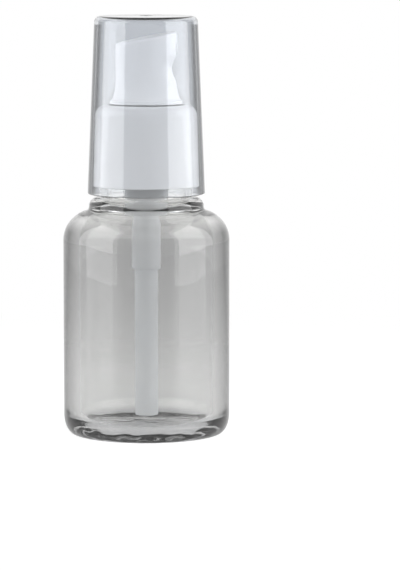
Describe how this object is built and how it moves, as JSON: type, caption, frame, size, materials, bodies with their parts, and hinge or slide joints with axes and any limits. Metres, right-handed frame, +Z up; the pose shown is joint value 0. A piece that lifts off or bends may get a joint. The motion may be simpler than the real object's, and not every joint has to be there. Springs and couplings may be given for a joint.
{
  "type": "pump dispenser bottle",
  "caption": "Small heavy-walled clear bottle with a screw-on white press pump, dip tube and smoky clear overcap, for liquid soap or lotion.",
  "frame": {"origin": "centre of the foot of the bottle, on the plane that it stands on", "axes": "+Z up along the axis of the bottle and the pump, +X the way the nozzle points"},
  "size_m": [0.0414, 0.0414, 0.1044],
  "materials": {
    "clear_plastic": "clear polished",
    "smoke_plastic": "smoky clear polished",
    "white_plastic": "smooth moulded",
    "natural_plastic": "milky translucent",
    "foam_liner": "foam",
    "spring_steel": "drawn wire",
    "glass_ball": "polished"
  },
  "bodies": {
    "bottle_body": {"bottle": "clear_plastic"},
    "liner_body": {"gasket": "foam_liner"},
    "engine_body": {"housing": "natural_plastic", "dip_tube": "natural_plastic", "chaplet": "white_plastic", "ball_retainer": "white_plastic", "return_spring": "spring_steel"},
    "collar_body": {"collar": "white_plastic"},
    "overcap_body": {"overcap": "smoke_plastic"},
    "piston_body": {"piston": "natural_plastic"},
    "actuator_body": {"actuator": "white_plastic", "nozzle_insert": "white_plastic", "stem": "white_plastic", "plunger_tip": "white_plastic"},
    "inlet_ball_body": {"inlet_ball": "spring_steel"},
    "outlet_ball_body": {"outlet_ball": "glass_ball"}
  },
  "joints": [
    {"name": "pump_lift", "type": "slide", "parent": "bottle_body", "child": "liner_body", "axis": [0, 0, 1], "range_m": [0, 0.075]},
    {"name": "closure_rise", "type": "slide", "parent": "liner_body", "child": "engine_body", "axis": [0, 0, 1], "range_m": [0, 0.0042]},
    {"name": "collar_turn", "type": "hinge", "parent": "engine_body", "child": "collar_body", "pos_m": [0, 0, 0.07], "axis": [0, 0, 1], "range_deg": [0, 500]},
    {"name": "overcap_pull", "type": "slide", "parent": "collar_body", "child": "overcap_body", "axis": [0, 0, 1], "range_m": [0, 0.045]},
    {"name": "actuator_press", "type": "slide", "parent": "engine_body", "child": "piston_body", "axis": [0, 0, -1], "range_m": [0, 0.004], "stiffness_N_per_m": 1000, "springref_m": -0.004, "deforming": ["return_spring"]},
    {"name": "actuator_turn", "type": "hinge", "parent": "piston_body", "child": "actuator_body", "pos_m": [0, 0, 0.09], "axis": [0, 0, 1], "continuous": true},
    {"name": "inlet_ball_lift", "type": "slide", "parent": "engine_body", "child": "inlet_ball_body", "axis": [0, 0, 1], "range_m": [0, 0.0007]},
    {"name": "outlet_ball_lift", "type": "slide", "parent": "actuator_body", "child": "outlet_ball_body", "axis": [0, 0, 1], "range_m": [0, 0.0008]}
  ],
  "couplings": [
    {"joint": "closure_rise", "follows": "collar_turn", "m_per_rad": 0.00047746}
  ]
}
